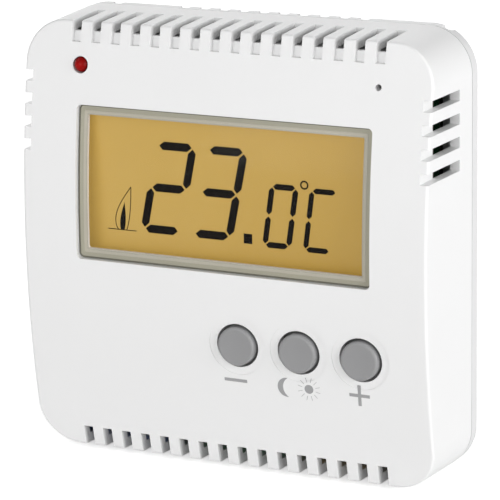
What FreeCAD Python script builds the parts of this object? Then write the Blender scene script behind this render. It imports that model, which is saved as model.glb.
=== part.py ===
"""Square wall thermostat with a bowed cover, a backlit display and three buttons.

Units are millimetres. X runs to the viewer's right, Z up, and Y into the wall. The origin is the
centre of the face that lies on the wall, and the body stands out from it towards -Y. Most sizes
below are depths, measured from the wall towards the room, so a depth of 5 lies at y = -5.
"""
import FreeCAD
import Part

import math
import os

from FreeCAD import Vector

# ---------------------------------------------------------------- driving dimensions
case_width = 85.0  # across the base, X
case_height = 85.0  # across the base, Z
case_depth = 22.4  # wall to the top of the bow
bow_rise = 4.8  # how far the front bulges between its top and bottom edges
draft_angle = 2.7  # degrees that the cover's sides lean in
corner_radius = 8.7  # outline corner at the base
wall = 1.9  # cover wall
front_edge_round = 0.5

# base
floor_thickness = 2.0
rim_depth = 2.5
seam_gap = 0.2  # between the base rim and the cover's edge
lip_thickness = 1.3
lip_depth = 5.5  # how far the locating lip stands out from the wall
lip_clearance = 0.3  # lip to cover
ear_width = 8.0  # snap ears on the lip
ear_depth = 8.0
ear_offset = 22.0  # each side of the middle
ear_bump = 0.12
rim_notch_width = 2.0
rim_notch_height = 1.1
rim_notch_depth = 1.6
rim_notch_count = 10
rim_notch_offset = 1.6  # the row's centre is a little to the right
release_notch_x = (-31.6, 37.1)  # where a screwdriver lifts the cover

# fixing to the wall box
box_screw_spacing = 60.0
wall_slot_radius = 2.1
wall_slot_length = 8.0
cable_entry_width = 27.0
cable_entry_height = 13.0
cable_entry_z = -18.0

# ventilation slots in the cover
slot_pitch = 4.15
slot_width = 1.94
slot_count = 16
slot_wrap = 3.93  # how far a slot comes round onto the front
slot_through_top = 2.0  # the part of a top slot's front end that is open
slot_recess = 1.0  # depth of the closed part
slot_from_seam = 5.4
side_slot_count = 4
side_slot_pitch = 4.33
side_slot_height = 2.09
side_slot_top = 32.1
side_slot_wrap = 1.8

# display
window_width = 60.7
window_height = 29.5
window_centre_x = 0.1
window_centre_z = 11.6
window_corner = 0.9
window_thickness = 1.2
window_inset = 0.05
window_gap = 0.12
window_bevel = 0.7
window_bevel_depth = 0.35
ledge_width = 1.85  # the cover's frame behind the window's edge
ledge_shift_z = 0.3  # the frame's opening sits a little high

# buttons
button_x = (3.1, 15.65, 28.2)
button_names = ("minus", "mode", "plus")
button_z = -16.9
button_radius = 3.9
button_clearance = 0.38
button_proud = 1.0
button_bevel = 0.75
button_flange_radius = 5.0
button_flange = 0.8
button_wall_gap = 0.2
button_travel = 0.4
dish_width = 1.5  # shallow ring around each button hole
dish_depth = 0.15
stem_radius = 1.6

# indicator and reset
led_x = -29.9
led_z = 33.7
led_radius = 1.5
led_flange_radius = 1.9
led_flange = 1.0
led_clearance = 0.1
led_proud = 0.65
led_body = 2.2  # straight part of the lens
led_lead_radius = 0.25
led_lead_spread = 1.27
led_lead_tail = 1.0  # leads past the back of the board
reset_x = 31.1
reset_z = 33.7
reset_hole_radius = 0.62

# circuit boards
board_thickness = 1.6
power_board_depth = 4.6  # depth of its face towards the wall
power_board_half = 37.5
main_board_depth = 11.6
main_board_half_x = 38.6
main_board_bottom = -26.0
main_board_top = 37.8
board_corner = 4.0
cable_room = 1.5  # mains board opening past the cable entry, each way
wall_screw_room = 1.5  # mains board past the end of a wall slot
wall_screw_half = 6.5  # half height of the mains board's notches

# fasteners
screw_radius = 0.95
screw_clearance = 0.05
screw_head_radius = 2.0
screw_head = 1.2
board_hole_radius = 1.2
post_radius = 2.25
pilot_depth = 5.0
base_pilot_depth = 2.6
pilot_spare = 0.4  # free depth under a screw's end
main_screw_places = ((-36.4, 12.0), (36.4, 12.0), (-36.4, -22.0), (36.4, -22.0))
power_screw_places = ((-33.0, 30.0), (33.0, 30.0), (-33.0, -16.0), (33.0, -16.0))

# display stack
lcd_plate = 1.1
lcd_width = 63.5
lcd_over = 3.8  # front plate past the ledge opening, top and bottom
lcd_rear_over = 1.9
light_guide_thickness = 1.9
stack_gap = 0.1
holder_wall = 1.1
holder_lip = 0.4
holder_fit = 0.2
strip_height = 1.4
strip_half = 30.0
lamp_width = 1.6
lamp_height = 3.0
lamp_depth = 1.4
lamp_spread = 7.0

# switches
switch_size = 6.0
switch_body = 3.4
plunger_radius = 1.75
plunger_proud = 1.0
plunger_inside = 2.0
plunger_clearance = 0.05
plunger_well = button_travel + 0.2  # free depth under a plunger
reset_switch_size = 3.6
reset_switch_body = 2.4
reset_plunger_radius = 0.9
reset_plunger_proud = 0.7
reset_plunger_inside = 1.4

# terminal block
pole_count = 4
pole_pitch = 5.0
block_margin = 0.4
block_bottom = -38.0
block_top = -28.5
block_height = 9.6
clamp_half_x = 1.8
clamp_half_z = 2.7
clamp_wall = 0.8
clamp_bridge = 1.1
clamp_window = 3.5
clamp_fit = 0.2
clamp_side = 0.5
clamp_base_gap = 1.4  # board to the open clamp
clamp_travel = 1.5
contact_thickness = 0.8
contact_half = 1.1
contact_tail = 0.8
contact_fit = 0.1
housing_end = 0.5  # housing wall under the contact tails
terminal_screw_radius = 1.25
terminal_screw_head_radius = 1.85
terminal_screw_head = 0.9
terminal_fit = 0.05
terminal_lift = 0.1  # screw head above the raised clamp
drive_slot = 0.5
wire_entry_half = 1.7

# connector between the boards
pin_count = 8
pin_pitch = 2.54
pin_half = 0.32
pin_fit = 0.15
connector_width = 2.5
connector_z = 33.0
header_height = 2.5
socket_height = 2.6
pin_reach = 2.3

# parts on the mains board: x, z, width, height, thickness
low_row_z = 22.0  # row of low parts behind the display
relay_size = (-24.75, -33.0, 20.5, 10.0, 9.8)
supply_capacitor_size = (20.5, -33.5, 13.0, 6.0, 9.0)
rectifier_size = (6.0, low_row_z, 4.7, 4.0, 2.5)
regulator_size = (-4.0, low_row_z, 4.5, 2.5, 1.5)
filter_can_x = -18.0
filter_can_radius = 4.0
filter_can_height = 4.9
filter_can_chamfer = 0.4
varistor_x = 19.0
varistor_radius = 3.6
varistor_thickness = 3.4
fuse_x = 22.0
fuse_z = -21.5
fuse_length = 10.0
fuse_radius = 1.8
fuse_lead = 2.0
fuse_lead_radius = 0.3

# parts on the back of the main board: x, width, height, thickness
chip_row_z = -2.0
microcontroller_size = (-8.0, 10.0, 10.0, 1.5)
crystal_size = (7.5, 11.0, 4.5, 3.5)
memory_chip_size = (19.5, 5.0, 4.0, 1.5)

# temperature bead under the main board
bead_x = 31.0
bead_radius = 1.4
bead_drop = 5.0
bead_solder = 2.0
bead_lead_radius = 0.25

# ---------------------------------------------------------------- derived places
draft = math.tan(math.radians(draft_angle))
cover_back = rim_depth + seam_gap
edge_depth = case_depth - bow_rise
front_half_height = case_height / 2 - (edge_depth - cover_back) * draft
bow_radius = (front_half_height ** 2 + bow_rise ** 2) / (2 * bow_rise)
front_half_width = case_width / 2 - (edge_depth - cover_back) * draft
power_board_front = power_board_depth + board_thickness
main_board_front = main_board_depth + board_thickness
opening_half_x = window_width / 2 - ledge_width
opening_half_z = window_height / 2 - ledge_width + ledge_shift_z / 2
opening_z = window_centre_z + ledge_shift_z
light_guide_back = main_board_front + stack_gap
lcd_back = light_guide_back + light_guide_thickness + stack_gap
lcd_middle = lcd_back + lcd_plate
lcd_front = lcd_middle + lcd_plate
lcd_half_z = opening_half_z + lcd_over
lcd_rear_half_z = opening_half_z + lcd_rear_over
block_half = pole_count * pole_pitch / 2 + block_margin
block_front = power_board_front + block_height
pole_z = (block_bottom + block_top) / 2
clamp_back = power_board_front + clamp_base_gap
clamp_front = clamp_back + clamp_wall + clamp_window + clamp_bridge
contact_front = clamp_back + clamp_wall + clamp_window - stack_gap
contact_back = contact_front - contact_thickness
terminal_head_back = clamp_front + clamp_travel + terminal_lift


# ---------------------------------------------------------------- shapes
def block(x0, x1, depth0, depth1, z0, z1):
    """Box between two X values, two depths and two heights."""
    return Part.makeBox(x1 - x0, depth1 - depth0, z1 - z0, Vector(x0, -depth1, z0))


def centred_block(x, z, width, height, depth0, depth1):
    """Box centred on x and z."""
    return block(x - width / 2, x + width / 2, depth0, depth1, z - height / 2, z + height / 2)


def rod(x, z, radius, depth0, depth1):
    """Round bar that stands straight out of the wall."""
    return Part.makeCylinder(radius, depth1 - depth0, Vector(x, -depth0, z), Vector(0, -1, 0))


def rounded_wire(half_x, half_z, radius, depth, x=0.0, z=0.0):
    """Rounded rectangle in the plane at one depth."""
    arcs = []
    for quarter in range(4):
        side_x = 1 if quarter in (0, 3) else -1
        side_z = 1 if quarter in (0, 1) else -1
        centre_x = x + side_x * (half_x - radius)
        centre_z = z + side_z * (half_z - radius)
        points = []
        for turn in (0, 45, 90):
            angle = math.radians(90 * quarter + turn)
            px = centre_x + radius * math.cos(angle)
            pz = centre_z + radius * math.sin(angle)
            points.append(Vector(px, -depth, pz))
        arcs.append(points)
    edges = []
    for quarter in range(4):
        edges.append(Part.Arc(*arcs[quarter]).toShape())
        edges.append(Part.makeLine(arcs[quarter][2], arcs[(quarter + 1) % 4][0]))
    return Part.Wire(edges)


def rounded_block(half_x, half_z, radius, depth0, depth1, x=0.0, z=0.0):
    """Straight slab with rounded corners."""
    face = Part.Face(rounded_wire(half_x, half_z, radius, depth0, x, z))
    return face.extrude(Vector(0, depth0 - depth1, 0))


def drafted_body(inset, depth0, depth1):
    """The case outline drawn in by inset, leaning in by the draft from depth0 to depth1."""
    wires = []
    for depth in (depth0, depth1):
        shrink = inset + (depth - cover_back) * draft
        half_x = case_width / 2 - shrink
        half_z = case_height / 2 - shrink
        wires.append(rounded_wire(half_x, half_z, corner_radius - shrink, depth))
    return Part.makeLoft(wires, True, True)


def bow_body(inset):
    """Everything behind the bowed front surface, set back by inset."""
    start = Vector(-case_width, -(case_depth - bow_radius), 0)
    return Part.makeCylinder(bow_radius - inset, 2 * case_width, start, Vector(1, 0, 0))


def front_depth(z, inset=0.0):
    """Depth of the bowed surface, set back by inset, at one height."""
    radius = bow_radius - inset
    return case_depth - bow_radius + math.sqrt(radius ** 2 - z ** 2)


def turned(profile, x, z):
    """Solid of revolution about the line through x and z; the profile is (radius, depth) pairs."""
    points = [Vector(x + radius, -depth, z) for radius, depth in profile]
    face = Part.Face(Part.makePolygon(points + points[:1]))
    return face.revolve(Vector(x, 0, z), Vector(0, 1, 0), 360)


def joined(shapes):
    """One solid from touching or overlapping shapes."""
    first, rest = shapes[0], shapes[1:]
    return first.fuse(rest).removeSplitter()


def save(name, *solids):
    """Write one node."""
    shape = solids[0] if len(solids) == 1 else Part.makeCompound(list(solids))
    shape.exportStep(os.path.join("parts", name + ".step"))


# ---------------------------------------------------------------- case
def cover_slots():
    """Cutters for the open slots in the top, bottom and sides, and for the closed ends."""
    start = cover_back + slot_from_seam
    cutters = []
    for i in range(slot_count):
        x0 = (i - (slot_count - 1) / 2) * slot_pitch - slot_width / 2
        x1 = x0 + slot_width
        through = front_half_height - slot_through_top
        wrapped = front_half_height - slot_wrap
        cutters.append(block(x0, x1, start, case_depth, through, case_height))
        closed = block(x0, x1, start, case_depth, wrapped, through)
        cutters.append(closed.cut(bow_body(slot_recess)))
        cutters.append(block(x0, x1, start, case_depth, -case_height, -wrapped))
    for i in range(side_slot_count):
        z1 = side_slot_top - i * side_slot_pitch
        z0 = z1 - side_slot_height
        inner = front_half_width - side_slot_wrap
        for side in (-1, 1):
            x0, x1 = sorted((side * inner, side * case_width))
            cutters.append(block(x0, x1, start, case_depth, z0, z1))
    return cutters


def cover_holes():
    """Cutters for the display, the buttons, the indicator and the reset pinhole."""
    outline = rounded_block(window_width / 2, window_height / 2, window_corner, 0, case_depth + 1,
                            window_centre_x, window_centre_z)
    cutters = [outline.cut(bow_body(window_thickness))]
    cutters.append(rounded_block(opening_half_x, opening_half_z, window_corner / 2, main_board_front,
                                 case_depth + 1, window_centre_x, opening_z))
    hole_radius = button_radius + button_clearance
    for x in button_x:
        dish = rod(x, button_z, hole_radius + dish_width, main_board_front, case_depth + 1)
        cutters.append(dish.cut(bow_body(dish_depth)))
        cutters.append(rod(x, button_z, hole_radius, main_board_front, case_depth + 1))
    cutters.append(rod(led_x, led_z, led_radius + led_clearance, main_board_front, case_depth + 1))
    cutters.append(rod(reset_x, reset_z, reset_hole_radius, main_board_front, case_depth + 1))
    return cutters


def front_cover():
    """Bowed shell with its openings, slots and the posts that hold the main board."""
    outer = drafted_body(0, cover_back, case_depth + 1).common(bow_body(0))
    rounded = [edge for edge in outer.Edges if edge.BoundBox.YMax < -(edge_depth - 1)]
    outer = outer.makeFillet(front_edge_round, rounded)
    cavity = drafted_body(wall, cover_back - 1, case_depth + 1).common(bow_body(wall))
    shell = outer.cut(cavity)
    posts = []
    pilots = []
    for x, z in main_screw_places:
        post = rod(x, z, post_radius, main_board_front, case_depth)
        posts.append(post.common(bow_body(wall / 2)))
        pilots.append(rod(x, z, screw_radius + screw_clearance, main_board_front,
                          main_board_front + pilot_depth))
    shell = shell.fuse(posts)
    return shell.cut(cover_slots() + cover_holes() + pilots).removeSplitter()


def base_plate():
    """Floor with rim, locating lip, snap ears, board posts, wall slots and cable entry."""
    outline = rounded_block(case_width / 2, case_height / 2, corner_radius, 0, rim_depth)
    lip_inset = wall + lip_clearance + (lip_depth - cover_back) * draft
    lip_x = case_width / 2 - lip_inset
    lip_z = case_height / 2 - lip_inset
    lip_corner = corner_radius - lip_inset
    lip = rounded_block(lip_x, lip_z, lip_corner, floor_thickness, lip_depth)
    room = rounded_block(lip_x - lip_thickness, lip_z - lip_thickness, lip_corner - lip_thickness,
                         floor_thickness, ear_depth)
    pieces = [outline, lip]
    for side in (-1, 1):
        for x in (-ear_offset, ear_offset):
            z0, z1 = sorted((side * (lip_z - lip_thickness), side * lip_z))
            pieces.append(block(x - ear_width / 2, x + ear_width / 2, floor_thickness, ear_depth, z0, z1))
            bump_depth = ear_depth - 2 * ear_bump
            bump_start = Vector(x - ear_width / 2, -bump_depth, side * lip_z)
            pieces.append(Part.makeCylinder(ear_bump, ear_width, bump_start, Vector(1, 0, 0)))
    plate = joined(pieces).cut(room)
    posts = []
    cutters = []
    for x, z in power_screw_places:
        posts.append(rod(x, z, post_radius, floor_thickness, power_board_depth))
        cutters.append(rod(x, z, screw_radius + screw_clearance, power_board_depth - base_pilot_depth,
                           power_board_depth))
    straight = wall_slot_length / 2 - wall_slot_radius
    for side in (-1, 1):
        x = side * box_screw_spacing / 2
        cutters.append(rounded_block(straight + wall_slot_radius, wall_slot_radius,
                                     wall_slot_radius - 1e-4, -1, rim_depth, x))
    cutters.append(centred_block(0, cable_entry_z, cable_entry_width, cable_entry_height, -1, rim_depth))
    first_notch = rim_notch_offset - (rim_notch_count - 1) / 2 * slot_pitch
    notch_places = [first_notch + i * slot_pitch for i in range(rim_notch_count)]
    for x in notch_places + list(release_notch_x):
        for side in (-1, 1):
            z0, z1 = sorted((side * (case_height / 2 - rim_notch_height), side * case_height))
            x0 = x - rim_notch_width / 2
            cutters.append(block(x0, x0 + rim_notch_width, -1, rim_notch_depth, z0, z1))
    return plate.fuse(posts).cut(cutters).removeSplitter()


def display_window():
    """Clear bowed pane with a bevelled front edge, seated on the cover's ledge."""
    half_x = window_width / 2 - window_gap
    half_z = window_height / 2 - window_gap
    behind = bow_body(window_inset)
    pane = rounded_block(half_x, half_z, window_corner, edge_depth - bow_rise, case_depth,
                         window_centre_x, window_centre_z).common(behind)
    pane = pane.cut(bow_body(window_thickness - window_inset))
    slices = bow_body(window_inset + window_bevel_depth)
    steps = 4
    for i in range(steps):
        share = (i + 0.5) / steps
        inner = rounded_block(half_x - window_bevel * share, half_z - window_bevel * share,
                              window_corner / 2, edge_depth - bow_rise, case_depth + 1,
                              window_centre_x, window_centre_z)
        depth_cut = window_inset + window_bevel_depth * (1 - share)
        outer_part = pane.cut(inner)
        pane = pane.common(inner).fuse(outer_part.common(bow_body(depth_cut)))
    return pane.removeSplitter()


# ---------------------------------------------------------------- display stack
def lcd_panel():
    """Two bonded glass plates; the front one is taller and carries the contacts."""
    front = centred_block(window_centre_x, opening_z, lcd_width, 2 * lcd_half_z, lcd_middle, lcd_front)
    rear = centred_block(window_centre_x, opening_z, lcd_width, 2 * lcd_rear_half_z, lcd_back, lcd_middle)
    return joined([front, rear])


def light_guide():
    """Edge-lit block behind the glass, notched on the left for the lamps."""
    half_x = lcd_width / 2 - 2 * stack_gap
    guide = centred_block(window_centre_x, opening_z, 2 * half_x, 2 * lcd_rear_half_z - stack_gap,
                          light_guide_back, lcd_back - stack_gap)
    pockets = [centred_block(x, z, lamp_width + 2 * stack_gap, lamp_height + 2 * stack_gap,
                             main_board_front, lcd_back) for x, z in lamp_places()]
    return guide.cut(pockets)


def lamp_places():
    """Centres of the backlight lamps, at the light guide's left end."""
    x = window_centre_x - lcd_width / 2 + 2 * stack_gap + lamp_width / 2
    return [(x, opening_z - lamp_spread), (x, opening_z + lamp_spread)]


def backlight_lamps():
    """Two lamps on the main board."""
    return [centred_block(x, z, lamp_width, lamp_height, main_board_front, main_board_front + lamp_depth)
            for x, z in lamp_places()]


def lcd_holder():
    """Frame around the stack, with a thin lip in front of the glass."""
    pocket_x = lcd_width / 2 + holder_fit
    pocket_z = lcd_half_z + holder_fit
    front = lcd_front + holder_lip
    frame = centred_block(window_centre_x, opening_z, 2 * (pocket_x + holder_wall),
                          2 * (pocket_z + holder_wall), main_board_front, front)
    pocket = centred_block(window_centre_x, opening_z, 2 * pocket_x, 2 * pocket_z, main_board_front,
                           lcd_front)
    sight = centred_block(window_centre_x, opening_z, 2 * (pocket_x - holder_wall),
                          2 * (lcd_rear_half_z - stack_gap), lcd_front, front)
    return frame.cut([pocket, sight])


def contact_strips():
    """Rubber strips that carry the signals from the board to the glass."""
    middle = (lcd_rear_half_z + lcd_half_z) / 2
    return [centred_block(window_centre_x, opening_z + side * middle, 2 * strip_half, strip_height,
                          main_board_front, lcd_middle) for side in (-1, 1)]


# ---------------------------------------------------------------- buttons and switches
def button(x):
    """Round cap with a bevelled rim, a flange behind the cover and a short stem."""
    cap_front = front_depth(button_z) + button_proud
    flange_front = front_depth(abs(button_z) + button_flange_radius, wall) - button_wall_gap
    flange_back = flange_front - button_flange
    stem_back = main_board_front + switch_body + plunger_proud
    profile = [(0, stem_back), (stem_radius, stem_back), (stem_radius, flange_back),
               (button_flange_radius, flange_back), (button_flange_radius, flange_front),
               (button_radius, flange_front), (button_radius, cap_front - button_bevel),
               (button_radius - button_bevel, cap_front), (0, cap_front)]
    return turned(profile, x, button_z)


def push_switch(x, z, size, height, radius, inside):
    """Switch body with a round well for its plunger."""
    body = centred_block(x, z, size, size, main_board_front, main_board_front + height)
    well_back = main_board_front + height - inside - plunger_well
    well = rod(x, z, radius + plunger_clearance, well_back, main_board_front + height)
    return body.cut(well)


def plunger(x, z, height, radius, inside, proud):
    """Round plunger that stands out of its switch."""
    top = main_board_front + height
    return rod(x, z, radius, top - inside, top + proud)


def indicator_led():
    """Lamp with a flange, a domed end and two leads through the board."""
    tip = front_depth(led_z) + led_proud
    shoulder = tip - led_radius
    seat = shoulder - led_body
    lens = rod(led_x, led_z, led_radius, seat, shoulder)
    dome = Part.makeSphere(led_radius, Vector(led_x, -shoulder, led_z))
    flange = rod(led_x, led_z, led_flange_radius, seat - led_flange, seat)
    leads = [rod(led_x + side * led_lead_spread, led_z, led_lead_radius, main_board_depth - led_lead_tail,
                 seat)
             for side in (-1, 1)]
    return joined([lens, dome, flange] + leads)


def led_spacer():
    """Sleeve that holds the lamp at the height of its hole."""
    seat = front_depth(led_z) + led_proud - led_radius - led_body - led_flange
    sleeve = rod(led_x, led_z, led_flange_radius, main_board_front, seat)
    holes = [rod(led_x + side * led_lead_spread, led_z, led_lead_radius + screw_clearance,
                 main_board_front, seat) for side in (-1, 1)]
    return sleeve.cut(holes)


# ---------------------------------------------------------------- boards
def board_screws(places, head_face, towards_room):
    """Pan-head screws; each head lies on the board face and its shank enters the post."""
    screws = []
    for x, z in places:
        if towards_room:
            head = rod(x, z, screw_head_radius, head_face - screw_head, head_face)
            end = head_face + board_thickness + pilot_depth - pilot_spare
            shank = rod(x, z, screw_radius, head_face, end)
        else:
            head = rod(x, z, screw_head_radius, head_face, head_face + screw_head)
            end = head_face - board_thickness - base_pilot_depth + pilot_spare
            shank = rod(x, z, screw_radius, end, head_face)
        screws.append(joined([head, shank]))
    return screws


def power_board():
    """Mains board, cut away round the wall screws and in front of the cable entry."""
    board = rounded_block(power_board_half, power_board_half, board_corner, power_board_depth,
                          power_board_front)
    cutters = [centred_block(0, cable_entry_z, cable_entry_width + 2 * cable_room,
                             cable_entry_height + 2 * cable_room, power_board_depth, power_board_front)]
    clear_x = box_screw_spacing / 2 - wall_slot_length / 2 - wall_screw_room
    for side in (-1, 1):
        x0, x1 = sorted((side * clear_x, side * case_width))
        cutters.append(block(x0, x1, power_board_depth, power_board_front,
                              -wall_screw_half, wall_screw_half))
    for x, z in power_screw_places:
        cutters.append(rod(x, z, board_hole_radius, power_board_depth, power_board_front))
    return board.cut(cutters)


def main_board():
    """Control board behind the display and the buttons."""
    middle = (main_board_top + main_board_bottom) / 2
    board = rounded_block(main_board_half_x, main_board_top - middle, board_corner, main_board_depth,
                          main_board_front, 0, middle)
    cutters = [rod(x, z, board_hole_radius, main_board_depth, main_board_front) for x, z in main_screw_places]
    for side in (-1, 1):
        cutters.append(rod(led_x + side * led_lead_spread, led_z, led_lead_radius + screw_clearance,
                           main_board_depth, main_board_front))
    return board.cut(cutters)


def pin_places():
    """Centres of the connector's pins along X."""
    return [(i - (pin_count - 1) / 2) * pin_pitch for i in range(pin_count)]


def pin_header():
    """Plastic strip on the mains board with its pins."""
    length = pin_count * pin_pitch
    top = power_board_front + header_height
    socket_back = main_board_depth - socket_height
    strip = centred_block(0, connector_z, length, connector_width, power_board_front, top)
    pins = [centred_block(x, connector_z, 2 * pin_half, 2 * pin_half, power_board_front,
                          socket_back + pin_reach) for x in pin_places()]
    return joined([strip] + pins)


def board_socket():
    """Socket strip on the main board that takes the pins."""
    length = pin_count * pin_pitch
    back = main_board_depth - socket_height
    strip = centred_block(0, connector_z, length, connector_width, back, main_board_depth)
    width = 2 * (pin_half + pin_fit)
    holes = [centred_block(x, connector_z, width, width, back, back + pin_reach + pin_fit)
             for x in pin_places()]
    return strip.cut(holes)


# ---------------------------------------------------------------- terminals
def pole_places():
    """Centres of the terminals along X."""
    return [(i - (pole_count - 1) / 2) * pole_pitch for i in range(pole_count)]


def terminal_block():
    """Housing with one chamber, screw well and upward wire entry for each pole."""
    body = block(-block_half, block_half, power_board_front, block_front, block_bottom, block_top)
    cutters = []
    for x in pole_places():
        cutters.append(centred_block(x, pole_z, 2 * (clamp_half_x + clamp_fit),
                                     2 * (clamp_half_z + clamp_fit), clamp_back - clamp_fit,
                                     clamp_front + clamp_travel + terminal_lift / 2))
        cutters.append(rod(x, pole_z, terminal_screw_head_radius + clamp_fit, clamp_front, block_front))
        cutters.append(block(x - wire_entry_half, x + wire_entry_half, clamp_back + clamp_wall,
                             contact_front + contact_fit, pole_z, block_top))
        cutters.append(block(x - contact_half - contact_fit, x + contact_half + contact_fit,
                             power_board_front, contact_front + contact_fit,
                             block_bottom + housing_end, pole_z))
    return body.cut(cutters)


def terminal_contacts():
    """Bent contact bars: a tongue through each clamp and a tail down to the board."""
    bars = []
    bottom = block_bottom + housing_end + contact_fit
    for x in pole_places():
        tongue = block(x - contact_half, x + contact_half, contact_back, contact_front, bottom,
                       pole_z + clamp_half_z + contact_tail)
        tail = block(x - contact_half, x + contact_half, power_board_front, contact_front, bottom,
                     bottom + contact_tail)
        bars.append(joined([tongue, tail]))
    return bars


def terminal_clamp(x):
    """Cage that rises along the screw and pulls the wire up against the contact bar."""
    cage = centred_block(x, pole_z, 2 * clamp_half_x, 2 * clamp_half_z, clamp_back, clamp_front)
    window_half = clamp_half_x - clamp_side
    window = block(x - window_half, x + window_half, clamp_back + clamp_wall, clamp_front - clamp_bridge,
                   pole_z - clamp_half_z, pole_z + clamp_half_z)
    thread = rod(x, pole_z, terminal_screw_radius + terminal_fit, clamp_front - clamp_bridge, clamp_front)
    return cage.cut([window, thread])


def terminal_screw(x):
    """Slotted clamp screw."""
    head_front = terminal_head_back + terminal_screw_head
    head = rod(x, pole_z, terminal_screw_head_radius, terminal_head_back, head_front)
    shank = rod(x, pole_z, terminal_screw_radius, contact_front + contact_fit, terminal_head_back)
    slot = centred_block(x, pole_z, 2 * case_width, drive_slot, head_front - drive_slot, head_front)
    return joined([head, shank]).cut(slot)


# ---------------------------------------------------------------- small parts
def filter_capacitor():
    """Low round can with a chamfered top."""
    radius = filter_can_radius
    top = power_board_front + filter_can_height
    profile = [(0, power_board_front), (radius, power_board_front), (radius, top - filter_can_chamfer),
               (radius - filter_can_chamfer, top), (0, top)]
    return turned(profile, filter_can_x, low_row_z)


def fuse():
    """Axial fuse lying on the board: barrel, leads and feet."""
    depth = power_board_front + fuse_radius
    start = fuse_x - fuse_length / 2
    barrel = Part.makeCylinder(fuse_radius, fuse_length, Vector(start, -depth, fuse_z), Vector(1, 0, 0))
    lead = Part.makeCylinder(fuse_lead_radius, fuse_length + 2 * fuse_lead,
                             Vector(start - fuse_lead, -depth, fuse_z), Vector(1, 0, 0))
    foot_reach = fuse_length / 2 + fuse_lead - 2 * fuse_lead_radius
    foot_width = 1.5 * fuse_lead_radius
    feet = [centred_block(fuse_x + side * foot_reach, fuse_z, foot_width, foot_width,
                          power_board_front, depth) for side in (-1, 1)]
    return joined([barrel, lead] + feet)


def thermistor():
    """Bead on two leads, held in the air stream below the main board."""
    depth = main_board_front + bead_lead_radius
    bead_z = main_board_bottom - bead_drop
    bead = Part.makeSphere(bead_radius, Vector(bead_x, -depth, bead_z))
    leads = [Part.makeCylinder(bead_lead_radius, bead_drop + bead_solder,
                               Vector(bead_x + side * bead_radius / 2, -depth, bead_z), Vector(0, 0, 1))
             for side in (-1, 1)]
    return joined([bead] + leads)


def rear_chip(x, width, height, thickness):
    """Rectangular part on the back of the main board."""
    return centred_block(x, chip_row_z, width, height, main_board_depth - thickness, main_board_depth)


def mains_part(x, z, width, height, thickness):
    """Rectangular part on the front of the mains board."""
    return centred_block(x, z, width, height, power_board_front, power_board_front + thickness)


os.makedirs("parts", exist_ok=True)

save("front_cover", front_cover())
save("base_plate", base_plate())
save("display_window", display_window())
save("lcd_panel", lcd_panel())
save("light_guide", light_guide())
save("backlight_lamps", *backlight_lamps())
save("lcd_holder", lcd_holder())
save("contact_strips", *contact_strips())

for name, x in zip(button_names, button_x):
    save(name + "_button", button(x))
    save(name + "_switch", push_switch(x, button_z, switch_size, switch_body, plunger_radius, plunger_inside))
    save(name + "_plunger", plunger(x, button_z, switch_body, plunger_radius, plunger_inside, plunger_proud))
save("reset_switch", push_switch(reset_x, reset_z, reset_switch_size, reset_switch_body,
                                 reset_plunger_radius, reset_plunger_inside))
save("reset_plunger", plunger(reset_x, reset_z, reset_switch_body, reset_plunger_radius,
                              reset_plunger_inside, reset_plunger_proud))
save("indicator_led", indicator_led())
save("led_spacer", led_spacer())

save("main_board", main_board())
save("main_board_screws", *board_screws(main_screw_places, main_board_depth, True))
save("board_socket", board_socket())
save("microcontroller", rear_chip(*microcontroller_size))
save("crystal", rear_chip(*crystal_size))
save("memory_chip", rear_chip(*memory_chip_size))
save("thermistor", thermistor())

save("power_board", power_board())
save("power_board_screws", *board_screws(power_screw_places, power_board_front, False))
save("pin_header", pin_header())
save("relay", mains_part(*relay_size))
save("supply_capacitor", mains_part(*supply_capacitor_size))
save("filter_capacitor", filter_capacitor())
save("fuse", fuse())
save("varistor", rod(varistor_x, low_row_z, varistor_radius, power_board_front,
                     power_board_front + varistor_thickness))
save("rectifier", mains_part(*rectifier_size))
save("voltage_regulator", mains_part(*regulator_size))

save("terminal_block", terminal_block())
save("terminal_contacts", *terminal_contacts())
for number, x in enumerate(pole_places(), 1):
    save("terminal_clamp_%d" % number, terminal_clamp(x))
    save("terminal_screw_%d" % number, terminal_screw(x))
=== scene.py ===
"""Looks of a square wall thermostat: finishes, display, printed signs, circuit details and the stage."""
import math

import bmesh
import bpy
import numpy as np
from bpy.props import FloatProperty, FloatVectorProperty, IntProperty, PointerProperty
from mathutils import Matrix, Vector


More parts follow.
